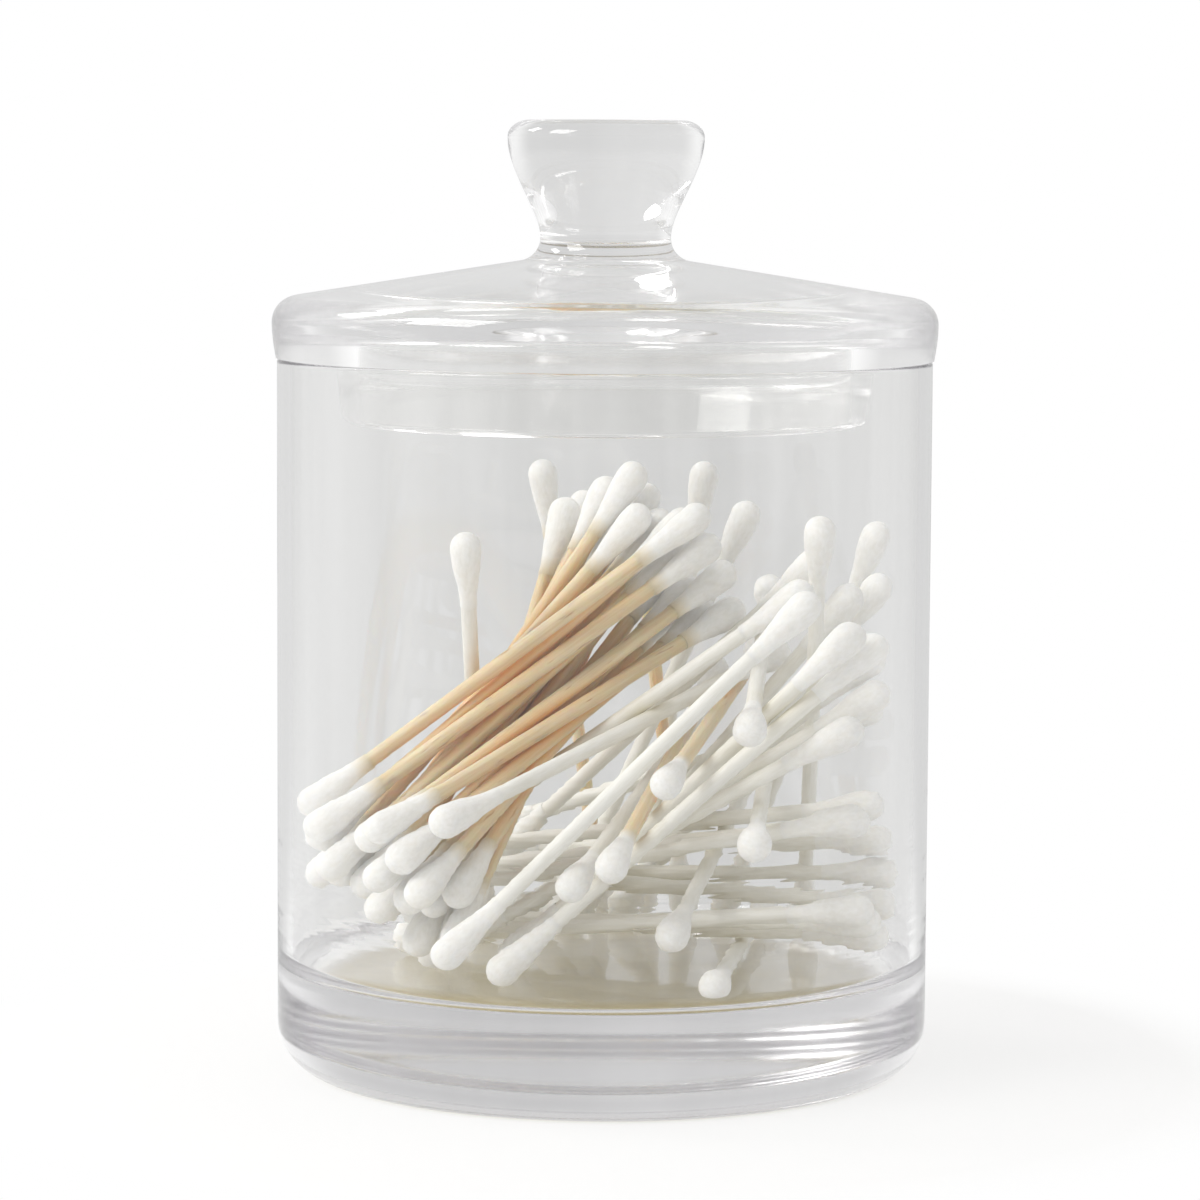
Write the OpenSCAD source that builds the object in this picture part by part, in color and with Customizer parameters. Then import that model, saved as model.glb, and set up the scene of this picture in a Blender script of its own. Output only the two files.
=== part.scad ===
// Bathroom storage jar: a clear glass cylinder with a thick base, a glass lid with a
// flared knob, and the heap of cotton buds that it holds.
// The origin is the middle of the base, +Z is up, and the front of the jar faces -Y.

/* [Jar] */
// Outside diameter of the jar
jar_d = 100; // [92:1:130]
// Height of the jar, from what it stands on to its rim
jar_h = 109; // [100:1:150]
// Thickness of the jar's side wall
jar_wall = 2.2; // [1.6:0.1:4]
// Thickness of the jar's base
base_h = 16; // [8:0.5:20]
// Radius inside, where the wall meets the floor
floor_fillet = 2.8; // [0.5:0.1:4]
// How far the rounded heel reaches in under the jar
heel_in = 6.2; // [2:0.1:9]
// How far the rounded heel reaches up the side
heel_up = 7.6; // [2:0.1:10]
// Radius of the two edges of the jar's rim
rim_edge = 0.7; // [0.2:0.1:0.8]

/* [Lid] */
// How far the widest part of the lid stands out past the jar
lid_overhang = 0.8; // [0.3:0.1:2]
// How far the lid stands out past the jar where it meets the jar's rim
lid_foot = 0.2; // [0:0.1:0.3]
// Height of the lid's edge, from the jar's rim to where its top starts
lid_edge_h = 9.4; // [6:0.1:14]
// Radius of the round between the lid's side and its top
lid_round = 4; // [1:0.1:5]
// Rise of the lid's top, from its edge to the sweep under the knob
lid_rise = 5.4; // [2:0.1:12]
// Thickness of the glass between the lid's top and the hollow under it
lid_roof = 5; // [3:0.1:6]
// Gap all round between the lid's collar and the jar's wall
collar_gap = 6.6; // [0.4:0.1:9]
// How far the collar reaches down into the jar
collar_depth = 9.8; // [4:0.1:16]
// Thickness of the collar at its lower end
collar_wall = 2.4; // [1.6:0.1:4]
// How much narrower the collar is at its lower end, on the radius
collar_taper = 1.1; // [0:0.1:2]
// Radius of the fillets where the collar meets the rest of the lid
collar_fillet = 1.2; // [0.3:0.1:2]

/* [Knob] */
// Widest diameter of the knob
knob_d = 30; // [24:0.5:36]
// Diameter of the neck under the knob
neck_d = 19.9; // [14:0.1:21]
// Height of the knob, from its neck to its top
knob_h = 17.8; // [12:0.1:24]
// How far the rounded top edge of the knob reaches down its side
knob_edge = 2.6; // [1:0.1:4]
// Radius of the sweep from the lid's top up into the neck
neck_round = 3.6; // [1:0.1:6]
// Depth of the shallow dish in the knob's top
knob_dish = 0.8; // [0.2:0.1:1.5]

/* [Cotton buds] */
// Length of a bud from end to end
bud_l = 77; // [64:1:80]
// Diameter of a bud's stick
stick_d = 2.4; // [1.8:0.1:3]
// Widest diameter of a cotton tip
tip_d = 5.2; // [4:0.1:6]
// Length of a cotton tip
tip_l = 13; // [9:0.5:16]
// How far the cotton reaches past the end of the stick
tip_cap = 1.2; // [0.5:0.1:2]
// Thickness of the cotton where it ends on the stick
tip_thin = 0.2; // [0.1:0.05:0.4]
// Clearance left between the buds, and from the buds to the glass
rest_gap = 0.2; // [0.1:0.05:0.4]

/* [Hidden] */
glass = [0.86, 0.92, 0.93, 0.45];
wood = [0.85, 0.72, 0.52];
paper = [0.93, 0.93, 0.9];
cotton = [0.97, 0.97, 0.95];

jar_r = jar_d / 2;
bore_r = jar_r - jar_wall;

// Points of an arc about c from angle a to angle b, of radius rx across and ry up
function arc(c, rx, ry, a, b, n) =
    [for (i = [0:n]) let (t = a + (b - a) * i / n) c + [rx * cos(t), ry * sin(t)]];

module jar() {
    color(glass)
    rotate_extrude($fn = 96)
    polygon(concat(
        [[0, 0]],
        arc([jar_r - heel_in, heel_up], heel_in, heel_up, -90, 0, 12),
        arc([jar_r - rim_edge, jar_h - rim_edge], rim_edge, rim_edge, 0, 90, 5),
        arc([bore_r + rim_edge, jar_h - rim_edge], rim_edge, rim_edge, 90, 180, 5),
        arc([bore_r - floor_fillet, base_h + floor_fillet], floor_fillet, floor_fillet,
            0, -90, 8),
        [[0, base_h]]));
}

// The lid rests on the jar's rim, and its collar hangs inside the bore
lid_r = jar_r + lid_overhang;
foot_r = jar_r + lid_foot;
edge_z = jar_h + lid_edge_h;
sweep_r = neck_d / 2 + neck_round;
neck_z = edge_z + lid_rise + neck_round;
wide_z = neck_z + knob_h - knob_edge;
knob_z = neck_z + knob_h;
collar_z = jar_h - collar_depth;
collar_r = bore_r - collar_gap;
collar_low_r = collar_r - collar_taper;
hollow_r = collar_low_r - collar_wall;
hollow_z = edge_z - lid_roof;
knob_edge_in = 1.3 * knob_edge;

// The knob's side, from the neck out to its widest place
function knob_side(n) =
    [for (i = [0:n]) let (t = i / n, u = pow(t, 0.9))
        [neck_d / 2 + (knob_d - neck_d) / 2 * u * u * (3 - 2 * u), neck_z + (wide_z - neck_z) * t]];

module lid() {
    color(glass)
    rotate_extrude($fn = 96)
    polygon(concat(
        [[0, hollow_z + lid_rise]],
        arc([hollow_r - collar_fillet, hollow_z - collar_fillet], collar_fillet, collar_fillet,
            90, 0, 5),
        arc([collar_low_r - collar_wall / 2, collar_z + collar_wall / 2],
            collar_wall / 2, collar_wall / 2, -180, 0, 10),
        arc([collar_r + collar_fillet, jar_h - collar_fillet], collar_fillet, collar_fillet,
            180, 90, 5),
        [[foot_r, jar_h], [lid_r, (jar_h + edge_z) / 2]],
        arc([lid_r - lid_round, edge_z - lid_round], lid_round, lid_round, 0, 81, 8),
        arc([sweep_r, neck_z], neck_round, neck_round, -99, -180, 8),
        knob_side(14),
        arc([knob_d / 2 - knob_edge_in, wide_z], knob_edge_in, knob_edge, 0, 90, 8),
        [[knob_d / 2 - 2 * knob_edge_in, knob_z - knob_dish / 2], [0, knob_z - knob_dish]]));
}

// How the buds lie. A bud is held here as the centres of its two round ends, with the
// lower end first. Places seen from above are percentages of the room that the centre of
// a round end has between the jar's axis and its wall.
tip_r = tip_d / 2;
stick_r = stick_d / 2;
reach = bud_l - tip_d;
room_r = bore_r - max(tip_r + rest_gap, floor_fillet);
sill_z = base_h + rest_gap + tip_r;
roof_z = collar_z - rest_gap - tip_r;

function clamped(x) = min(1, max(0, x));
function plan_r(p) = norm([p[0], p[1]]);
function lifted(bud, z) = [bud[0] + [0, 0, z], bud[1] + [0, 0, z]];
function inside(bud) = max(plan_r(bud[0]), plan_r(bud[1])) <= room_r;

// A sheaf of buds, held together by their thick ends: a straight one in the middle and
// rings of slanting ones round it. The sticks pass each other at the waist and spread
// until the tips have room, and each has slipped along by up to slip_by. The sheaf's
// middle is given in plan, then the way that it points and how far it leans up, and its
// lowest tips rest on the floor. Its buds are dealt out to four groups.
waist_step = stick_d + 1.5 * rest_gap;
end_step = tip_d + rest_gap;
function slant(k) = asin(k * sqrt(end_step * end_step - waist_step * waist_step) * 2 / reach);
slip_by = 3;
function slip(k, j) = slip_by * sin(137.5 * (j + 3 * k));

function slanted(a, side, up, k, phi, slid) =
    let (w = k * waist_step * (side * cos(phi) + up * sin(phi)),
         u = a * cos(slant(k)) + (up * cos(phi) - side * sin(phi)) * sin(slant(k)))
    [w + u * (slid - reach / 2), w + u * (slid + reach / 2)];

function sheaf(name, rings, middle, heading, lean) =
    let (a = [cos(lean) * cos(heading), cos(lean) * sin(heading), sin(lean)],
         side = [-sin(heading), cos(heading), 0], up = cross(a, side),
         m = [middle[0], middle[1], 0] * room_r / 100,
         all = [for (k = [0:rings], j = [0:max(1, 6 * k) - 1])
             let (b = slanted(a, side, up, k, 60 * j / max(1, k) + 20 * k, slip(k, j)))
             [str(name, "_", chr(97 + (j + k) % 4)), [b[0] + m, b[1] + m]]],
         kept = [for (b = all) if (inside(b[1])) b],
         z = sill_z - min([for (b = kept) min(b[1][0][2], b[1][1][2])]))
    [for (b = kept) [b[0], lifted(b[1], z), "held"]];

// A loose bud, by where its two ends stand in plan: the nearer they are, the steeper it is
function loose(p, q) =
    let (a = p * room_r / 100, b = q * room_r / 100,
         span = norm(b - a), k = span > reach ? reach / span : 1,
         m = (a + b) / 2, h = (b - a) * k / 2,
         rise = sqrt(max(0, reach * reach - span * span * k * k)))
    [[m[0] - h[0], m[1] - h[1], 0], [m[0] + h[0], m[1] + h[1], rise]];

// The gap between two tapered rods, each given by its ends and the radius at each end
function rod_gap(a, b) =
    let (d1 = a[1] - a[0], d2 = b[1] - b[0], r = a[0] - b[0],
         aa = d1 * d1, ee = d2 * d2, f = d2 * r, c = d1 * r, m = d1 * d2,
         den = aa * ee - m * m,
         s0 = den > 1e-9 ? clamped((m * f - c * ee) / den) : 0,
         t0 = (m * s0 + f) / ee,
         t = clamped(t0),
         s = t0 == t ? s0 : clamped((m * t - c) / aa))
    norm(a[0] + d1 * s - b[0] - d2 * t) - a[2] - (a[3] - a[2]) * s - b[2] - (b[3] - b[2]) * t;

// A bud as rods: its stick, then for each tip the thick end and the taper
shoulder = tip_d;
shoulder_r = tip_r * 0.9;
tip_foot_r = stick_r + tip_thin;
function rods(bud) =
    let (u = (bud[1] - bud[0]) / reach, s = u * (shoulder - tip_r), e = u * (tip_l - tip_r))
    [[bud[0] + e, bud[1] - e, stick_r, stick_r],
     [bud[0], bud[0] + s, tip_r, shoulder_r],
     [bud[0] + s, bud[0] + e, shoulder_r, tip_foot_r],
     [bud[1], bud[1] - s, tip_r, shoulder_r],
     [bud[1] - s, bud[1] - e, shoulder_r, tip_foot_r]];

// The gap between two buds. Where two plain rods are further apart than far, that will do.
function bud_gap(a, b, far = 1) =
    let (rough = rod_gap([a[0], a[1], tip_r, tip_r], [b[0], b[1], tip_r, tip_r]))
    rough > far ? rough
    : rough < -2 * tip_r ? rough
    : min([for (i = rods(a), j = rods(b)) rod_gap(i, j)]);

function gap_below(bud, heap) =
    min(concat([bud[0][2] - sill_z], [for (b = heap) bud_gap(bud, b) - rest_gap]));

// A loose bud goes where it is planned or, where that is taken, to the nearest place with
// room: the places tried lie on a spiral round its own line. It is then let down until it
// rests on the floor or on another bud.
settled = 0.02;
tries = 130;
try_step = 1.5;
function has_room(bud, heap) =
    inside(bud) && bud[1][2] <= roof_z && bud[0][2] > sill_z - settled && !meets(bud, heap);
function meets(bud, heap, k = 0) =
    k == len(heap) ? false
    : bud_gap(bud, heap[k], rest_gap) < rest_gap - settled ? true : meets(bud, heap, k + 1);
function shifted(bud, k) =
    let (u = (bud[1] - bud[0]) / reach, side = [-u[1], u[0], 0] / max(0.01, norm([u[0], u[1]])),
         w = try_step * sqrt(k) * (side * cos(137.5 * k) + cross(u, side) * sin(137.5 * k)))
    [bud[0] + w, bud[1] + w];
function fitted(bud, heap, k = 0) =
    k == tries ? undef
    : let (here = shifted(bud, k)) has_room(here, heap) ? here : fitted(bud, heap, k + 1);
function let_down(bud, heap, steps = 40) =
    let (gap = gap_below(bud, heap))
    gap < settled || steps == 0 ? bud : let_down(lifted(bud, -gap), heap, steps - 1);

// The heap, built in the order of the plan. Each line of the plan is a group's name, a
// bud, and how it lies: "held" in a sheaf, "leant" against the glass at its height, or
// "laid" down on what is below. What finds no room between glass and buds is left out.
function heap(plan, done = [], k = 0) =
    k == len(plan) ? done
    : let (buds = [for (d = done) d[1]], bud = plan[k][1], how = plan[k][2],
           here = how != "held" ? fitted(bud, buds) : has_room(bud, buds) ? bud : undef,
           there = is_undef(here) || how != "laid" ? here : let_down(here, buds))
      heap(plan, is_undef(here) ? done : concat(done, [[plan[k][0], there]]), k + 1);

// Loose buds of one group, each as its lower and upper end in plan and a height to try
function loose_buds(name, how, lines) =
    [for (l = lines) [name, lifted(loose([l[0], l[1]], [l[2], l[3]]), sill_z + l[4]), how]];

// A splay of loose buds: heads side by side against the glass about one heading, tails
// about another, and each bud steeper than the one before it, in four groups
function splay(name, count, head, tail, slopes) =
    [for (i = [0:count - 1])
        let (slope = slopes[0] + (slopes[1] - slopes[0]) * i / (count - 1),
             span = 100 * reach / room_r * cos(slope),
             a = head + 15 * sin(222 * i), p = 93 * [cos(a), sin(a)],
             b = tail + 8 * sin(137.5 * i))
        [str(name, "_", chr(97 + i % 4)),
            lifted(loose(p + span * [cos(b), sin(b)], p), sill_z), "laid"]];

// The heap's plan. Loose buds are given as their lower end, their upper end and a height.
heap_plan = concat(
    loose_buds("paper_lone", "laid", [[-42, 50, -46, -30, 0]]),
    loose_buds("paper_front", "leant", [
        [-49, -86, 64, -75, 5], [-32, -66, 87, -46, 1], [-50, -80, 60, 27, 24]]),
    sheaf("wood_sheaf", 3, [-29, -10], 30, 45),
    loose_buds("paper_back", "laid", [
        [45, 82, 95, 20, 0], [-10, 58, 84, 6, 0], [-20, 48, 90, -12, 0],
        [-12, 85, 50, 50, 0]]),
    loose_buds("wood_facing", "leant", [[24, -85, 60, 68, 28], [3, -88, 40, 60, 18]]),
    loose_buds("paper_facing", "leant", [
        [37, -84, 50, 74, 29], [5, -88, 50, 60, 14], [37, -82, 70, 70, 15]]),
    loose_buds("paper_facing", "laid", [[47, -80, 60, 76, 40]]),
    loose_buds("paper_floor", "laid", [[36, -84, 60, 80, 0]]),
    splay("paper_splay", 48, -6, 154, [0, 52]),
    loose_buds("wood_back", "laid", [
        [-30, 90, 16, 45, 0], [0, 92, -22, 66, 0], [30, 88, 10, 60, 0]]),
    loose_buds("paper_top", "laid", [
        [10, 90, 30, 60, 0], [60, 70, 55, 10, 0], [85, 40, 85, -30, 0], [50, 80, 70, 10, 0]]));

buds = heap(heap_plan);
function named_before(list, k, j = 0) =
    j < k && (list[j][0] == list[k][0] || named_before(list, k, j + 1));
function groups(list) = [for (k = [0:len(list) - 1]) if (!named_before(list, k)) list[k][0]];
function is_wood(name) = len(search("w", name)) > 0;

module placed(at, u) {
    translate(at) rotate([0, acos(u[2]), atan2(u[1], u[0])]) children();
}

// The sticks of one group, each ending inside its cotton tips
module sticks(name) {
    color(is_wood(name) ? wood : paper)
    for (b = buds) if (b[0] == name) {
        u = (b[1][1] - b[1][0]) / reach;
        placed(b[1][0] - u * (tip_r - tip_cap), u)
        cylinder(r = stick_r, h = bud_l - 2 * tip_cap, $fn = 24);
    }
}

// One cotton tip, wound round the end of a stick that comes down to it from above
module tip() {
    rotate_extrude($fn = 24)
    difference() {
        polygon(concat(
            arc([0, 0], tip_r, tip_r, -90, 0, 7),
            [[shoulder_r, shoulder - tip_r], [tip_foot_r, tip_l - tip_r],
             [0, tip_l - tip_r]]));
        translate([-stick_r, tip_cap - tip_r]) square([2 * stick_r, tip_l]);
    }
}

// Both cotton tips of every bud in one group
module tips(name) {
    color(cotton)
    for (b = buds) if (b[0] == name) {
        u = (b[1][1] - b[1][0]) / reach;
        placed(b[1][0], u) tip();
        placed(b[1][1], -u) tip();
    }
}

jar();
lid();
for (g = groups(buds)) {
    sticks(g);
    tips(g);
}
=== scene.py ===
import math

import bmesh
import bpy
import numpy as np
from mathutils import Matrix, Vector


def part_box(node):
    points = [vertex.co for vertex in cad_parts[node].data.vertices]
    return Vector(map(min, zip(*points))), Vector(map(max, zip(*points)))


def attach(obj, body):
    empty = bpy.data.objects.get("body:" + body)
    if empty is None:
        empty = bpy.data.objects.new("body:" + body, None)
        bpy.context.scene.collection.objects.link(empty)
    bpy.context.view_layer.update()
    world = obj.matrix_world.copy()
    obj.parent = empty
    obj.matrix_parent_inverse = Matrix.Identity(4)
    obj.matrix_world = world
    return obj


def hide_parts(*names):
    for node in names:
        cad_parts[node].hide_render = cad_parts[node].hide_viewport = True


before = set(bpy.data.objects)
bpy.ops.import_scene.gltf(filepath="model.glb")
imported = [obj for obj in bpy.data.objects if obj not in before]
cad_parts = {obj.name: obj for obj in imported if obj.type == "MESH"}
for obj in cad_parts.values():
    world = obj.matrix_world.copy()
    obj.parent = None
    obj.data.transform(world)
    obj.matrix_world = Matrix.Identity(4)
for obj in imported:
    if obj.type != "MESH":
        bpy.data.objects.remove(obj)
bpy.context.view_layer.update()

# The jar: one piece of clear soda glass, pressed in a mould, with a thick base, a rounded
# heel and a straight wall whose rim is polished in the fire. It stands on its flat base,
# and everything else is in it or on it.
MM = 0.001
jar_low, jar_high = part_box("jar")
jar_r = (jar_high.x - jar_low.x) / 2
jar_wall = 2.2 * MM
jar_floor = 16 * MM
heel_in, heel_up = 6.2 * MM, 7.6 * MM
floor_fillet = 2.8 * MM
rim_edge = 0.7 * MM
bore_r = jar_r - jar_wall
rest_air = 0.03 * MM
long_stretch, flat_end = 1 * MM, 0.15 * MM


def bend(middle, across, up, start, end, steps):
    """Points of a round stretch of an outline about middle, from angle start to angle end."""
    angles = np.radians(np.linspace(start, end, steps + 1))
    return [(middle[0] + across * math.cos(a), middle[1] + up * math.sin(a)) for a in angles]


def with_flats(outline):
    """An outline with a point close to each end of its long stretches, so that they shade flat."""
    points = [outline[0]]
    for (r0, z0), (r1, z1) in zip(outline, outline[1:]):
        length = math.hypot(r1 - r0, z1 - z0)
        if length > long_stretch:
            first = flat_end / length
            points += [(r0 + (r1 - r0) * t, z0 + (z1 - z0) * t) for t in (first, 1 - first)]
        points.append((r1, z1))
    return points


def turned(name, outline, around=224, crease=38):
    """A solid turned about the jar's axis from an outline that starts and ends on the axis."""
    outline = with_flats(outline)
    rings = outline[1:-1]
    turn = np.arange(around) * 2 * math.pi / around
    points = [(0, 0, outline[0][1])]
    for r, z in rings:
        points += [(r * math.cos(a), r * math.sin(a), z) for a in turn]
    points.append((0, 0, outline[-1][1]))
    faces = []
    for j in range(around):
        k = (j + 1) % around
        faces.append((0, 1 + k, 1 + j))
        for i in range(len(rings) - 1):
            low, high = 1 + i * around, 1 + (i + 1) * around
            faces.append((low + j, low + k, high + k, high + j))
        top = 1 + (len(rings) - 1) * around
        faces.append((top + j, top + k, len(points) - 1))
    mesh = bpy.data.meshes.new(name)
    mesh.from_pydata(points, [], faces)
    mesh.shade_smooth()
    mesh.set_sharp_from_angle(angle=math.radians(crease))
    piece = bpy.data.objects.new(name, mesh)
    bpy.context.scene.collection.objects.link(piece)
    return piece


def effect(name, inputs, outputs):
    """A new shader node group with named inputs and outputs, for an effect that materials share."""
    group = bpy.data.node_groups.new(name, "ShaderNodeTree")
    for label, kind, value in inputs:
        socket = group.interface.new_socket(label, in_out="INPUT", socket_type=kind)
        if value is not None:
            socket.default_value = value
    for label, kind in outputs:
        group.interface.new_socket(label, in_out="OUTPUT", socket_type=kind)
    return group, group.nodes.new("NodeGroupInput").outputs, group.nodes.new("NodeGroupOutput").inputs


def step(tree, kind, **settings):
    """A new node in a tree. Settings that are sockets are linked, plain values are set on them."""
    node = tree.nodes.new("ShaderNode" + kind)
    for key, value in settings.items():
        if hasattr(node, key) and not isinstance(value, bpy.types.NodeSocket):
            setattr(node, key, value)
            continue
        place = int(key[1:]) if key[0] == "_" else key.replace("_", " ")
        if isinstance(value, bpy.types.NodeSocket):
            tree.links.new(value, node.inputs[place])
        else:
            node.inputs[place].default_value = value
    return node


# Pressed and fire-polished glass is never quite flat: the wall carries faint upright waves,
# is a little thicker and darker in some than in others, and has a breath of finger marks.
# Low on the wall, where it chilled first in the mould, there are faint level ripples too.
ripples_from, ripples_full, ripples_fade, ripples_end = 17 * MM, 23 * MM, 30 * MM, 60 * MM
ripple_height = 4.0
glass_waves, wave_in, wave_out = effect(
    "glass_waves",
    [("Wave", "NodeSocketFloat", 0.5), ("Smears", "NodeSocketFloat", 0.02)],
    [("Height", "NodeSocketFloat"), ("Roughness", "NodeSocketFloat"), ("Streak", "NodeSocketFloat")],
)
place = step(glass_waves, "TexCoord").outputs["Object"]
upright = step(glass_waves, "Mapping", Vector=place, Scale=(1, 1, 0.04)).outputs[0]
broad = step(glass_waves, "TexNoise", Vector=upright, Scale=110.0, Detail=2.0).outputs["Fac"]
fine = step(glass_waves, "TexNoise", Vector=upright, Scale=420.0, Detail=1.0).outputs["Fac"]
both = step(glass_waves, "Math", operation="MULTIPLY_ADD", _0=fine, _1=0.25, _2=broad).outputs[0]
height = step(glass_waves, "Math", operation="MULTIPLY", _0=both, _1=wave_in["Wave"]).outputs[0]
level = step(glass_waves, "Mapping", Vector=place, Scale=(0.12, 0.12, 1)).outputs[0]
rippled = step(glass_waves, "TexNoise", Vector=level, Scale=330.0, Detail=2.0).outputs["Fac"]
upward = step(glass_waves, "SeparateXYZ", Vector=place).outputs["Z"]
for start, end in ((ripples_end, ripples_fade), (ripples_from, ripples_full)):
    part = step(
        glass_waves, "MapRange", interpolation_type="SMOOTHSTEP",
        Value=upward, From_Min=start, From_Max=end,
    ).outputs[0]
    rippled = step(glass_waves, "Math", operation="MULTIPLY", _0=rippled, _1=part).outputs[0]
chilled = step(
    glass_waves, "Math", operation="MULTIPLY_ADD", _0=rippled, _1=ripple_height, _2=height,
).outputs[0]
glass_waves.links.new(chilled, wave_out["Height"])
streak = step(
    glass_waves, "MapRange", interpolation_type="SMOOTHSTEP",
    Value=both, From_Min=0.5, From_Max=0.78,
).outputs[0]
glass_waves.links.new(streak, wave_out["Streak"])
smear = step(
    glass_waves, "TexNoise", Vector=place, Scale=45.0, Detail=5.0, Roughness=0.65,
).outputs["Fac"]
touched = step(
    glass_waves, "MapRange", interpolation_type="SMOOTHSTEP",
    Value=smear, From_Min=0.55, From_Max=0.75,
).outputs[0]
rough = step(glass_waves, "Math", operation="MULTIPLY", _0=touched, _1=wave_in["Smears"]).outputs[0]
glass_waves.links.new(rough, wave_out["Roughness"])


def blended(tree, factor, low, high):
    """A colour between two others, each given as a colour or a socket."""
    mix = step(tree, "Mix", data_type="RGBA")
    tree.links.new(factor, mix.inputs[0])
    for place, value in ((6, low), (7, high)):
        if isinstance(value, bpy.types.NodeSocket):
            tree.links.new(value, mix.inputs[place])
        else:
            mix.inputs[place].default_value = (*value, 1)
    return mix.outputs[2]


refraction = 1.5
streak_tint = 0.955
let_through = (0.95, 0.95, 0.945, 1)
depth_tint = (0.40, 0.38, 0.43, 1)


def clear_glass(name, tint, wave, smears, wave_height, dark, soft, soft_from, soft_to):
    """Clear glass that lets lamps and scattered light straight through to what it holds.

    It darkens with depth by dark. Its skin goes from smooth at the height soft_from to a
    roughness of soft at soft_to.
    """
    material = bpy.data.materials.new(name)
    material.use_nodes = True
    tree = material.node_tree
    body = tree.nodes["Principled BSDF"]
    body.inputs["Transmission Weight"].default_value = 1
    body.inputs["IOR"].default_value = refraction
    waves = tree.nodes.new("ShaderNodeGroup")
    waves.node_tree = glass_waves
    waves.inputs["Wave"].default_value = wave
    waves.inputs["Smears"].default_value = smears
    thicker = tuple(streak_tint * part for part in tint)
    tree.links.new(blended(tree, waves.outputs["Streak"], tint, thicker), body.inputs["Base Color"])
    bump = step(tree, "Bump", Height=waves.outputs["Height"], Strength=1.0, Distance=wave_height)
    tree.links.new(bump.outputs[0], body.inputs["Normal"])
    height = step(tree, "SeparateXYZ", Vector=step(tree, "TexCoord").outputs["Object"]).outputs["Z"]
    duller = step(
        tree, "MapRange", interpolation_type="SMOOTHSTEP",
        Value=height, From_Min=soft_from, From_Max=soft_to, To_Max=soft,
    ).outputs[0]
    tree.links.new(
        step(tree, "Math", operation="ADD", _0=waves.outputs["Roughness"], _1=duller).outputs[0],
        body.inputs["Roughness"],
    )
    path = tree.nodes.new("ShaderNodeLightPath").outputs
    lit = step(tree, "Math", operation="MAXIMUM", _0=path["Is Shadow Ray"], _1=path["Is Diffuse Ray"])
    passed = step(tree, "BsdfTransparent", Color=let_through)
    surface = step(tree, "MixShader", _0=lit.outputs[0], _1=body.outputs[0], _2=passed.outputs[0])
    tree.links.new(surface.outputs[0], tree.nodes["Material Output"].inputs["Surface"])
    deep = step(tree, "VolumeAbsorption", Color=depth_tint, Density=dark)
    tree.links.new(deep.outputs[0], tree.nodes["Material Output"].inputs["Volume"])
    return material


jar = turned("jar_glass", [
    (0, 0),
    *bend((jar_r - heel_in, heel_up), heel_in, heel_up, -90, 0, 22),
    *[(jar_r, z) for z in np.linspace(heel_up, jar_high.z - rim_edge, 12)[1:-1]],
    *bend((jar_r - rim_edge, jar_high.z - rim_edge), rim_edge, rim_edge, 0, 90, 10),
    *bend((bore_r + rim_edge, jar_high.z - rim_edge), rim_edge, rim_edge, 90, 180, 10),
    *[(bore_r, z) for z in np.linspace(jar_high.z - rim_edge, jar_floor + floor_fillet, 12)[1:-1]],
    *bend((bore_r - floor_fillet, jar_floor + floor_fillet), floor_fillet, floor_fillet, 0, -90, 14),
    (0, jar_floor),
])
jar.data.materials.append(clear_glass(
    "jar_clear", tint=(0.985, 0.985, 0.98), wave=0.6, smears=0.03, wave_height=0.02 * MM, dark=3.3,
    soft=0.07, soft_from=jar_floor + 4 * MM, soft_to=jar_floor,
))
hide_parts("jar")
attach(jar, "root")

# The lid: one piece of the same glass, pressed, with the knob. Its thick rounded edge rests
# on the jar's rim, its top rises in a low cone to the neck, and a hollow collar hangs in
# the jar and keeps it in the middle.
lid_low, lid_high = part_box("lid")
lid_r = (lid_high.x - lid_low.x) / 2
foot_r = jar_r + 0.2 * MM
edge_z = jar_high.z + 9.4 * MM
lid_round = 4 * MM
lid_rise = 5.4 * MM
roof = 5 * MM
collar_wall, collar_taper, collar_fillet = 2.4 * MM, 1.1 * MM, 1.2 * MM
collar_r = bore_r - 6.6 * MM
collar_low_r = collar_r - collar_taper
hollow_r = collar_low_r - collar_wall
hollow_z = edge_z - roof
neck_r = 9.95 * MM
neck_round = 3.6 * MM
neck_z = edge_z + lid_rise + neck_round
knob_r = 15 * MM
knob_edge, knob_edge_in = 2.6 * MM, 3.38 * MM
knob_dish = 0.8 * MM
wide_z = lid_high.z - knob_edge
sweep_r = neck_r + neck_round
seat_z = jar_high.z + rest_air


def knob_side(steps):
    """The flare of the knob, from its neck out to its widest place."""
    side = []
    for t in np.linspace(0, 1, steps + 1):
        u = t ** 0.9
        side.append((neck_r + (knob_r - neck_r) * u * u * (3 - 2 * u), neck_z + (wide_z - neck_z) * t))
    return side


def dish(steps):
    """The shallow dish in the knob's top, from its edge in to the axis."""
    start_r, start_z = knob_r - knob_edge_in, lid_high.z
    return [
        (start_r * (1 - t), start_z - knob_dish * (0.5 - 0.5 * math.cos(math.pi * t)))
        for t in np.linspace(0, 1, steps + 1)[1:]
    ]


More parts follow.
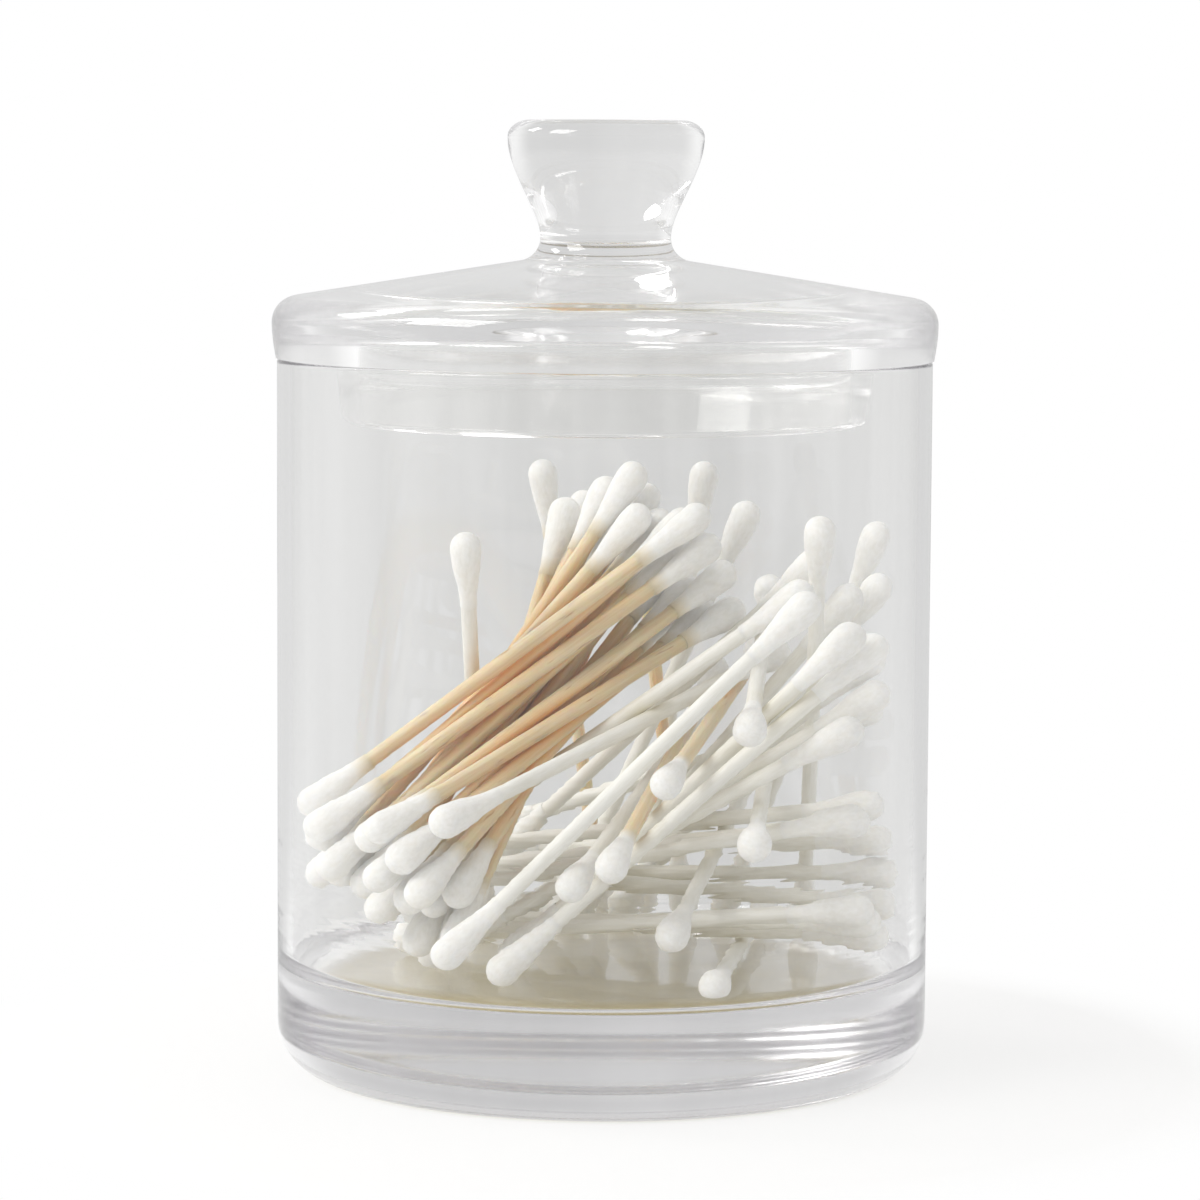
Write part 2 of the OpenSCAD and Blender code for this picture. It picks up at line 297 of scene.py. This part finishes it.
side_low = (foot_r, seat_z)
side_high = (lid_r, edge_z - lid_round)
lid = turned("lid_glass", [
    (0, hollow_z + lid_rise),
    *[((hollow_r - collar_fillet) * t, hollow_z + lid_rise * (1 - t))
      for t in np.linspace(0, 1, 10)[1:-1]],
    *bend((hollow_r - collar_fillet, hollow_z - collar_fillet), collar_fillet, collar_fillet, 83, 0, 8),
    *bend((collar_low_r - collar_wall / 2, lid_low.z + collar_wall / 2),
          collar_wall / 2, collar_wall / 2, -180, 0, 18),
    *bend((collar_r + collar_fillet, seat_z - collar_fillet), collar_fillet, collar_fillet, 180, 90, 8),
    side_low,
    *[(foot_r + (lid_r - foot_r) * math.sin(t * math.pi / 2), seat_z + (side_high[1] - seat_z) * t)
      for t in np.linspace(0, 1, 10)[1:-1]],
    *bend((lid_r - lid_round, edge_z - lid_round), lid_round, lid_round, 0, 81, 16),
    *bend((sweep_r, neck_z), neck_round, neck_round, -99, -180, 16),
    *knob_side(28)[1:-1],
    *bend((knob_r - knob_edge_in, wide_z), knob_edge_in, knob_edge, 0, 90, 16),
    *dish(12),
])
lid.data.materials.append(clear_glass(
    "lid_clear", tint=(0.99, 0.99, 0.985), wave=0.35, smears=0.05, wave_height=0.02 * MM, dark=1.0,
    soft=0.05, soft_from=neck_z, soft_to=edge_z,
))
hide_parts("lid")
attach(lid, "root")

# The cotton buds, read one by one from the solids of their nodes: where each stick and its
# two tips lie is what model.glb says, and only their surfaces are made anew here. Each has
# its own slight unevenness, always the same from run to run.
rng = np.random.RandomState(11)


def solids_in(node):
    """The points of each separate solid in a CAD node."""
    joined = bmesh.new()
    joined.from_mesh(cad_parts[node].data)
    bmesh.ops.remove_doubles(joined, verts=joined.verts, dist=0.001 * MM)
    joined.verts.index_update()
    seen = set()
    solids = []
    for first in joined.verts:
        if first.index in seen:
            continue
        seen.add(first.index)
        todo, found = [first], []
        while todo:
            here = todo.pop()
            found.append(here.co[:])
            for edge in here.link_edges:
                other = edge.other_vert(here)
                if other.index not in seen:
                    seen.add(other.index)
                    todo.append(other)
        solids.append(np.array(found))
    joined.free()
    return solids


def stick_of(solid):
    """The two ends and the radius of a stick, lower end first."""
    middle = solid.mean(0)
    along = np.linalg.svd(solid - middle)[2][0]
    along = along if along[2] > 0 else -along
    reach = (solid - middle) @ along
    off = solid - middle - np.outer(reach, along)
    return middle + along * reach.min(), middle + along * reach.max(), np.linalg.norm(off, axis=1).max()


def crossways(along):
    """Two directions square to a bud and to each other."""
    side = np.cross(along, (0.0, 0.0, 1.0) if abs(along[2]) < 0.9 else (1.0, 0.0, 0.0))
    side /= np.linalg.norm(side)
    return side, np.cross(along, side)


class Heap:
    """The points, faces and surface places of one group's sticks or tips, as they are added."""

    def __init__(self):
        self.points, self.faces, self.grain, self.near = [], [], [], []
        self.count = 0

    def add_rings(self, rings, grain, near):
        """A closed skin over rings of points, one after the other, with a cap on each end.

        near says how near a stick lies: beneath this skin, or beside it. It is one value for
        each ring or for each point.
        """
        rows, around = rings.shape[:2]
        self.points.append(rings.reshape(-1, 3))
        self.grain.append(grain.reshape(-1, 3))
        self.near.append(near.ravel() if near.ndim == 2 else np.repeat(near, around))
        at = self.count + np.arange(rows * around).reshape(rows, around)
        nxt = np.roll(at, -1, axis=1)
        self.faces += np.stack([at[:-1], nxt[:-1], nxt[1:], at[1:]], -1).reshape(-1, 4).tolist()
        self.faces += [at[0][::-1].tolist(), at[-1].tolist()]
        self.count += rows * around

    def piece(self, name, material):
        """The finished object of a whole group, in one material."""
        mesh = bpy.data.meshes.new(name)
        mesh.from_pydata(np.concatenate(self.points).tolist(), [], self.faces)
        grain = mesh.attributes.new("grain", "FLOAT_VECTOR", "POINT")
        grain.data.foreach_set("vector", np.concatenate(self.grain).astype(np.float32).ravel())
        near = mesh.attributes.new("near", "FLOAT", "POINT")
        near.data.foreach_set("value", np.concatenate(self.near).astype(np.float32))
        mesh.shade_smooth()
        mesh.set_sharp_from_angle(angle=math.radians(60))
        mesh.materials.append(material)
        made = bpy.data.objects.new(name, mesh)
        bpy.context.scene.collection.objects.link(made)
        return made


def swept(low, along, side, up, s, radii, drift):
    """Rings of points round a bud's own line at distances s from low, and where they lie on it."""
    around = radii.shape[1]
    turn = np.arange(around) * 2 * math.pi / around
    ring = np.cos(turn)[:, None] * side + np.sin(turn)[:, None] * up
    centre = low + s[:, None] * along + drift
    rings = centre[:, None, :] + radii[:, :, None] * ring[None]
    grain = np.stack([
        np.cos(turn)[None] * radii, np.sin(turn)[None] * radii, np.repeat(s[:, None], around, 1),
    ], -1)
    return rings, grain


def add_spike(heap, root, way, curl, length, thick, shift, near):
    """One loose fibre or splinter: a thin closed spike that curls away from its root."""
    side, up = crossways(way)
    s = np.array([0.0, 0.5, 0.999]) * length
    radii = np.array([1.0, 0.75, 0.15])[:, None] * thick * np.ones((3, 3))
    drift = (np.array([0.0, 0.25, 1.0]) * length)[:, None] * curl
    rings, grain = swept(root, way, side, up, s, radii, drift)
    heap.add_rings(rings, grain + shift, np.full(3, near))


# Long fibres: the same stretched grain is in the birch, in the rolled paper and, wound
# round instead of along, in the cotton. It gives a mask and a height.
long_grain, grain_in, grain_out = effect(
    "long_grain",
    [
        ("Fineness", "NodeSocketFloat", 2000.0),
        ("Stretch", "NodeSocketVector", (1, 1, 0.05)),
        ("Rough", "NodeSocketFloat", 0.6),
    ],
    [("Mask", "NodeSocketFloat"), ("Height", "NodeSocketFloat"), ("Place", "NodeSocketVector")],
)
own = step(long_grain, "Attribute", attribute_name="grain").outputs["Vector"]
drawn = step(long_grain, "VectorMath", operation="MULTIPLY", _0=own, _1=grain_in["Stretch"]).outputs[0]
threads = step(
    long_grain, "TexNoise", Vector=drawn, Scale=grain_in["Fineness"], Detail=4.0,
    Roughness=grain_in["Rough"],
).outputs["Fac"]
sharp = step(
    long_grain, "MapRange", interpolation_type="SMOOTHSTEP", Value=threads, From_Min=0.35, From_Max=0.65,
).outputs[0]
long_grain.links.new(sharp, grain_out["Mask"])
long_grain.links.new(threads, grain_out["Height"])
long_grain.links.new(own, grain_out["Place"])


def fibre_material(name, fineness, stretch, rough):
    """A plain material with the grain group in it, and what its nodes need."""
    material = bpy.data.materials.new(name)
    material.use_nodes = True
    tree = material.node_tree
    grain = tree.nodes.new("ShaderNodeGroup")
    grain.node_tree = long_grain
    grain.inputs["Fineness"].default_value = fineness
    grain.inputs["Stretch"].default_value = stretch
    grain.inputs["Rough"].default_value = rough
    return material, tree, tree.nodes["Principled BSDF"], grain.outputs


# The sticks: round birch, cut across and a little ragged, and rolled white paper. Each runs
# on inside the cotton at both ends. No stick is quite straight or quite round.
stick_rings, stick_around = 34, 20
birch_uneven, paper_uneven = 0.014, 0.004
most_bow = 0.09 * MM
splinters = 4
# How far from another stick the painted shade in the heap's crevices reaches.
crevice_shade_reach = 1.5 * MM


# Its value is the mask of the painted shade in the crevices between the sticks.
def beside(points, others):
    """How near the nearest of other sticks lies to each point: 1 where they touch, 0 well away."""
    air = np.full(points.shape[:-1], 1.0)
    for low, high, radius in others:
        length = np.linalg.norm(high - low)
        along = (high - low) / length
        reach = np.clip((points - low) @ along, 0, length)
        off = np.linalg.norm(points - low - reach[..., None] * along, axis=-1) - radius
        air = np.minimum(air, np.maximum(off, 0))
    return np.exp(-air / crevice_shade_reach)


def add_stick(heap, low, high, radius, shift, wood, others):
    """One stick between its two ends, with a few splinters where it is of wood."""
    length = np.linalg.norm(high - low)
    along = (high - low) / length
    side, up = crossways(along)
    s = np.linspace(0, length, stick_rings)
    turn = np.arange(stick_around) * 2 * math.pi / stick_around
    phase = rng.uniform(0, 2 * math.pi, 6)
    wander = s / (40 * MM)
    shape = sum(
        np.cos(m * turn[None] + phase[m] + wander[:, None] * rng.uniform(-0.5, 0.5))
        for m in (2, 3, 5)
    )
    uneven = birch_uneven if wood else paper_uneven
    radii = radius * (1 - 3 * uneven + uneven * shape)
    bow = most_bow * np.sin(math.pi * s / length)
    lean = rng.uniform(0, 2 * math.pi)
    drift = bow[:, None] * (math.cos(lean) * side + math.sin(lean) * up)
    rings, grain = swept(low, along, side, up, s, radii, drift)
    heap.add_rings(rings, grain + shift, beside(rings, others))
    if not wood:
        return
    for _ in range(splinters):
        a, at = rng.uniform(0, 2 * math.pi), rng.uniform(0.18, 0.8) * length
        out = math.cos(a) * side + math.sin(a) * up
        ward = along if rng.rand() < 0.5 else -along
        add_spike(
            heap, root=low + along * at + out * radius * 0.93, way=ward,
            curl=out * rng.uniform(0.05, 0.16), length=rng.uniform(1.2, 3.6) * MM,
            thick=rng.uniform(0.04, 0.09) * MM, shift=shift, near=0.0,
        )


birch_pale, birch_mid, birch_dark = (0.76, 0.68, 0.495), (0.69, 0.57, 0.36), (0.42, 0.24, 0.12)
# Painted shade: the warm orange-brown that the birch takes in the heap's crevices, where another stick lies
# close.
birch_crevice_shade = (0.84, 0.42, 0.10)
birch, tree, skin, grain = fibre_material(
    "birch_stick", fineness=2400.0, stretch=(1, 1, 0.035), rough=0.62,
)
streaked = blended(tree, grain["Mask"], birch_mid, birch_pale)
along_pores = step(tree, "Mapping", Vector=grain["Place"], Scale=(1, 1, 0.12)).outputs[0]
pores = step(tree, "TexNoise", Vector=along_pores, Scale=1500.0, Detail=2.0)
pored = step(tree, "MapRange", Value=pores.outputs["Fac"], From_Min=0.66, From_Max=0.74)
along_knots = step(tree, "Mapping", Vector=grain["Place"], Scale=(1, 1, 0.3)).outputs[0]
knots = step(tree, "TexNoise", Vector=along_knots, Scale=330.0, Detail=3.0)
knotted = step(tree, "MapRange", Value=knots.outputs["Fac"], From_Min=0.68, From_Max=0.78, To_Max=0.8)
marks = step(tree, "Math", operation="MAXIMUM", _0=pored.outputs[0], _1=knotted.outputs[0])
stained = blended(tree, marks.outputs[0], streaked, birch_dark)
patch = step(tree, "TexNoise", Vector=grain["Place"], Scale=70.0, Detail=2.0)
warmth = step(tree, "MapRange", Value=patch.outputs["Fac"], From_Min=0.35, From_Max=0.7, To_Max=0.5)
warmed = blended(tree, warmth.outputs[0], stained, birch_mid)
# Painted shade: the birch goes towards the crevice colour where another stick lies close beside it.
close = step(tree, "Attribute", attribute_name="near").outputs["Fac"]
crevice_shade_mask = step(tree, "MapRange", Value=close, From_Min=0.15, From_Max=0.9, To_Max=0.9).outputs[0]
tree.links.new(blended(tree, crevice_shade_mask, warmed, birch_crevice_shade), skin.inputs["Base Color"])
skin.inputs["Roughness"].default_value = 0.55
skin.inputs["Sheen Weight"].default_value = 0.25
skin.inputs["Sheen Roughness"].default_value = 0.4
skin.inputs["Subsurface Weight"].default_value = 0.9
skin.inputs["Subsurface Radius"].default_value = (1.0, 0.55, 0.2)
skin.inputs["Subsurface Scale"].default_value = 1.6 * MM
bump = step(tree, "Bump", Height=grain["Height"], Strength=0.5, Distance=0.06 * MM)
tree.links.new(bump.outputs[0], skin.inputs["Normal"])

paper_white, paper_shade = (0.92, 0.915, 0.885), (0.86, 0.85, 0.80)
# Painted shade: the khaki grey that the paper takes in the heap's crevices, where another stick lies close.
paper_crevice_shade = (0.73, 0.68, 0.52)
paper, tree, skin, grain = fibre_material(
    "rolled_paper", fineness=3200.0, stretch=(1, 1, 0.12), rough=0.5,
)
fibred = blended(tree, grain["Mask"], paper_shade, paper_white)
cloud = step(tree, "TexNoise", Vector=grain["Place"], Scale=160.0, Detail=3.0)
clouded = step(tree, "MapRange", Value=cloud.outputs["Fac"], From_Min=0.4, From_Max=0.75, To_Max=0.6)
whitened = blended(tree, clouded.outputs[0], fibred, paper_white)
# Painted shade: the paper goes towards the crevice colour where another stick lies close beside it.
close = step(tree, "Attribute", attribute_name="near").outputs["Fac"]
tree.links.new(blended(tree, close, whitened, paper_crevice_shade), skin.inputs["Base Color"])
skin.inputs["Roughness"].default_value = 0.55
bump = step(tree, "Bump", Height=grain["Height"], Strength=0.25, Distance=0.03 * MM)
tree.links.new(bump.outputs[0], skin.inputs["Normal"])

# The tips: cotton wool wound on the stick in the shape of a drop, thickest near its end and
# thin where it runs out on the stick, with fine loose fibres standing off it.
tip_r = 2.6 * MM
tip_l = 13 * MM
tip_thin = 0.2 * MM
tip_cap_rings, tip_side_rings, tip_around = 11, 24, 32
tip_uneven = 0.012
shows_from = 0.62
fibres, fibre_thick = 110, 0.014 * MM
lumps_round = ((1, 9, 1.0), (2, 6, 0.8), (3, 4, 0.6), (1, 3, 0.5), (4, 2.4, 0.35), (2, 1.5, 0.3))


def add_tip(heap, end, inward, shift, stick_r, scale):
    """One tip, from the bud's end inward along the stick, with its loose fibres."""
    length, radius = tip_l, tip_r * scale
    side, up = crossways(inward)
    foot_r = stick_r + tip_thin * 0.6
    cap, rest = np.linspace(0, 1, tip_cap_rings), np.linspace(0, 1, tip_side_rings)[1:]
    s = np.concatenate([radius * (1 - np.cos(cap * math.pi / 2)), radius + (length - radius) * rest])
    s[0] = 0.004 * MM
    t = np.clip((s - radius) / (length - radius), 0, 1)
    profile = np.where(
        s < radius, np.sqrt(np.maximum(0, radius ** 2 - (radius - s) ** 2)),
        foot_r + (radius - foot_r) * (0.5 + 0.5 * np.cos(math.pi * t)) ** 1.05,
    )
    turn = np.arange(tip_around) * 2 * math.pi / tip_around
    lumps = np.zeros((len(s), tip_around))
    for m, pitch, much in lumps_round:
        sway = 2 * math.pi * s[:, None] / (pitch * MM) * rng.choice((-1, 1))
        lumps += much * np.cos(m * turn[None] + sway + rng.uniform(0, 2 * math.pi))
    radii = profile[:, None] * (0.97 + tip_uneven * lumps * np.minimum(1, s / radius)[:, None])
    radii = np.maximum(radii, 0.002 * MM)
    near = np.clip((s / length - shows_from) / (1 - shows_from), 0, 1)
    rings, grain = swept(end, inward, side, up, s, radii, np.zeros((len(s), 3)))
    heap.add_rings(rings, grain + shift, near)
    for _ in range(fibres):
        i, j = rng.randint(3, len(s) - 1), rng.randint(tip_around)
        out = rings[i, j] - (end + inward * s[i])
        out /= np.linalg.norm(out)
        loose = rng.normal(size=3)
        way = 0.75 * loose / np.linalg.norm(loose) + 0.55 * out - 0.25 * inward
        way /= np.linalg.norm(way)
        add_spike(
            heap, root=rings[i, j] - out * 0.05 * MM, way=way,
            curl=rng.normal(size=3) * 0.28, length=rng.uniform(0.35, 1.15) * MM,
            thick=fibre_thick, shift=shift, near=near[i],
        )


# The second colour is painted shade: the wool a little greyer in the hollows of its wound fibres, where the
# bump sinks.
cotton_white, cotton_hollow_shade = (0.945, 0.943, 0.935), (0.875, 0.87, 0.85)


def wound_cotton(name, beneath):
    """Cotton wool, with the stick beneath showing through where it thins out."""
    material, tree, skin, grain = fibre_material(
        name, fineness=1900.0, stretch=(1, 1, 0.45), rough=0.7,
    )
    # Painted shade: greyer in the hollows between the fibres.
    wool = blended(tree, grain["Mask"], cotton_hollow_shade, cotton_white)
    near = step(tree, "Attribute", attribute_name="near").outputs["Fac"]
    ragged = step(tree, "Math", operation="MULTIPLY_ADD", _0=grain["Height"], _1=0.5, _2=near).outputs[0]
    thin = step(tree, "MapRange", Value=ragged, From_Min=0.65, From_Max=1.25, To_Max=0.85).outputs[0]
    tree.links.new(blended(tree, thin, wool, beneath), skin.inputs["Base Color"])
    skin.inputs["Roughness"].default_value = 0.95
    skin.inputs["Sheen Weight"].default_value = 0.25
    skin.inputs["Sheen Roughness"].default_value = 0.5
    skin.inputs["Subsurface Weight"].default_value = 0.55
    skin.inputs["Subsurface Radius"].default_value = (1.0, 0.92, 0.8)
    skin.inputs["Subsurface Scale"].default_value = 1.4 * MM
    bump = step(tree, "Bump", Height=grain["Height"], Strength=0.7, Distance=0.12 * MM)
    tree.links.new(bump.outputs[0], skin.inputs["Normal"])
    return material


cotton_on = {
    True: wound_cotton("cotton_on_birch", birch_mid),
    False: wound_cotton("cotton_on_paper", paper_white),
}

# The heap, group by group: each group is one node of sticks and one of tips, and the finer
# pieces made here stand where those two nodes stand.
groups = sorted(n[:-len("_sticks")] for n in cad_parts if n.endswith("_sticks"))
lying = {group: [stick_of(solid) for solid in solids_in(group + "_sticks")] for group in groups}
every = [stick for sticks in lying.values() for stick in sticks]
for number, group in enumerate(groups):
    wood = group.startswith("wood")
    sticks, tips = Heap(), Heap()
    drops = solids_in(group + "_tips")
    for k, (low, high, radius) in enumerate(lying[group]):
        others = [stick for stick in every if stick[0] is not low]
        along = (high - low) / np.linalg.norm(high - low)
        shift = np.array([0.0, 0.0, 0.1 * (1 + k + 20 * number)])
        add_stick(sticks, low, high, radius, shift, wood, others)
        for end, inward in ((low, along), (high, -along)):
            drop = min(drops, key=lambda d: np.linalg.norm(d.mean(0) - end - inward * 4 * MM))
            reach = ((drop - end) @ inward).min()
            add_tip(tips, end + inward * reach, inward, shift + rng.uniform(0, 0.05), radius,
                    rng.uniform(0.9, 1.0))
    for heap, part, how, material, slot in (
        (sticks, "sticks", "drawn", birch if wood else paper, "wood" if wood else "paper"),
        (tips, "tips", "wound", cotton_on[wood], "cotton"),
    ):
        made = heap.piece(f"{group}_{part}_{how}", material)
        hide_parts(f"{group}_{part}")
        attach(made, "root")

# The stage: a plain white floor that keeps the jar's shadow and runs out into a white
# surround, a large soft lamp at the upper left in front, and a smaller one like a window at
# the left behind. The glass shows the surround a little greyer, brightest at the two sides.
level_left, level_right, level_above, level_sides = 0.75, 0.70, 0.04, 1.08


def seen_in_glass(tree, toward):
    """How bright the surround looks through the glass, in a direction from the jar."""
    part = step(tree, "SeparateXYZ", Vector=toward).outputs
    aside = step(tree, "Math", operation="ABSOLUTE", _0=part["X"]).outputs[0]
    side = step(
        tree, "MapRange", interpolation_type="SMOOTHSTEP",
        Value=aside, From_Min=0.6, From_Max=0.95,
    ).outputs[0]
    raised = step(
        tree, "MapRange", interpolation_type="SMOOTHSTEP",
        Value=part["Z"], From_Min=0.04, From_Max=0.2,
    ).outputs[0]
    level = step(
        tree, "MapRange", Value=part["X"],
        From_Min=-0.1, From_Max=0.1, To_Min=level_left, To_Max=level_right,
    ).outputs[0]
    ahead = step(tree, "Math", operation="MULTIPLY_ADD", _0=raised, _1=level_above, _2=level).outputs[0]
    return step(tree, "Mix", data_type="FLOAT", _0=side, _2=ahead, _3=level_sides).outputs[0]


def brightness(tree, path, toward):
    """White as the camera sees the surround itself, and its level as the glass shows it."""
    seen = path["Is Camera Ray"]
    through = seen_in_glass(tree, toward)
    return step(tree, "Mix", data_type="FLOAT", _0=seen, _2=through, _3=1.0).outputs[0]


def not_lighting(tree, path):
    """1 for the rays that look at the surround, and 0 for those by which it lights the jar."""
    both = step(tree, "Math", operation="MAXIMUM", _0=path["Is Glossy Ray"], _1=path["Is Transmission Ray"])
    return step(tree, "Math", operation="MAXIMUM", _0=both.outputs[0], _1=path["Is Camera Ray"]).outputs[0]


# Under the jar the floor is painted a dark khaki, a painted shadow where the base and the heap keep the
# light off it.
floor_white, floor_shadow_under_jar = (0.92, 0.92, 0.92), (0.58, 0.50, 0.29)
floor_paled = 0.7
bpy.ops.mesh.primitive_plane_add(size=6, location=(0, 0, -0.1 * MM))
ground = bpy.context.object
ground.name = "floor"
surface = bpy.data.materials.new("floor_pale")
surface.use_nodes = True
tree = surface.node_tree
matt = tree.nodes["Principled BSDF"]
matt.inputs["Roughness"].default_value = 0.9
place = step(tree, "TexCoord").outputs["Object"]
away = step(tree, "VectorMath", operation="LENGTH", _0=place).outputs["Value"]
outside = step(
    tree, "MapRange", interpolation_type="SMOOTHSTEP",
    Value=away, From_Min=jar_r - 1.6 * heel_in, From_Max=jar_r - 0.5 * heel_in,
).outputs[0]
# Painted shadow: dark khaki inside the jar's heel, white outside it.
tree.links.new(blended(tree, outside, floor_shadow_under_jar, floor_white), matt.inputs["Base Color"])
near = step(tree, "Math", operation="MULTIPLY", _0=outside, _1=floor_paled)
far = step(
    tree, "MapRange", interpolation_type="SMOOTHSTEP",
    Value=away, From_Min=1.1 * jar_r, From_Max=2.2 * jar_r,
)
whiter = step(tree, "Math", operation="MAXIMUM", _0=near.outputs[0], _1=far.outputs[0])
path = tree.nodes.new("ShaderNodeLightPath").outputs
heading = step(tree, "VectorMath", operation="NORMALIZE", _0=place).outputs[0]
glow = step(tree, "Emission", Color=(1, 1, 1, 1), Strength=brightness(tree, path, heading))
shown = step(tree, "Math", operation="MULTIPLY", _0=not_lighting(tree, path), _1=whiter.outputs[0])
mixed = step(tree, "MixShader", _0=shown.outputs[0], _1=matt.outputs[0], _2=glow.outputs[0])
tree.links.new(mixed.outputs[0], tree.nodes["Material Output"].inputs["Surface"])
ground.data.materials.append(surface)

sky_colour, sky_light = (1.0, 0.99, 0.97, 1), 0.73
world = bpy.data.worlds.new("studio")
bpy.context.scene.world = world
world.use_nodes = True
tree = world.node_tree
tree.nodes.clear()
path = tree.nodes.new("ShaderNodeLightPath").outputs
heading = step(tree, "TexCoord").outputs["Generated"]
soft = step(tree, "Background", Color=sky_colour, Strength=sky_light)
white = step(tree, "Background", Color=(1, 1, 1, 1), Strength=brightness(tree, path, heading))
mixed = step(tree, "MixShader", _0=not_lighting(tree, path), _1=soft.outputs[0], _2=white.outputs[0])
out = tree.nodes.new("ShaderNodeOutputWorld")
tree.links.new(mixed.outputs[0], out.inputs["Surface"])


def lamp(name, at, towards, size, watts, colour):
    """A soft square lamp that shines from at towards a point."""
    light = bpy.data.lights.new(name, "AREA")
    light.shape = "RECTANGLE"
    light.size, light.size_y = size
    light.energy = watts
    light.color = colour
    holder = bpy.data.objects.new(name, light)
    holder.location = at
    holder.rotation_euler = (Vector(towards) - Vector(at)).to_track_quat("-Z", "Y").to_euler()
    bpy.context.scene.collection.objects.link(holder)


middle = (0, 0, 0.06)
lamp(
    "key", at=(-0.93, -0.5, 0.95), towards=middle, size=(0.6, 0.6),
    watts=8.7, colour=(1.0, 0.99, 0.975),
)
lamp(
    "window", at=(-0.62, 0.25, 0.62), towards=middle, size=(0.16, 0.22),
    watts=1.2, colour=(1.0, 0.99, 0.97),
)

# The camera stands well back, at about the height of the lid, and looks slightly down. It
# is turned and tilted by a trace, as the one that took the photograph was.
light_paths = 128
camera_place = Vector((0, -0.7, 0.141))
look_down, turn_left, roll = math.radians(5.64), math.radians(0.045), math.radians(0.32)
frame_side, focal_pixels, sensor = 1200, 4580, 36
camera_data = bpy.data.cameras.new("camera")
camera_data.sensor_width = sensor
camera_data.lens = sensor * focal_pixels / frame_side
camera_data.clip_start = 0.01
camera = bpy.data.objects.new("camera", camera_data)
bpy.context.scene.collection.objects.link(camera)
camera.matrix_world = (
    Matrix.Translation(camera_place)
    @ Matrix.Rotation(turn_left, 4, "Z")
    @ Matrix.Rotation(math.pi / 2 - look_down, 4, "X")
    @ Matrix.Rotation(roll, 4, "Z")
)
bpy.context.scene.camera = camera
bpy.context.scene.view_settings.view_transform = "Standard"
for bounces in ("max_bounces", "glossy_bounces", "transmission_bounces"):
    setattr(bpy.context.scene.cycles, bounces, light_paths)
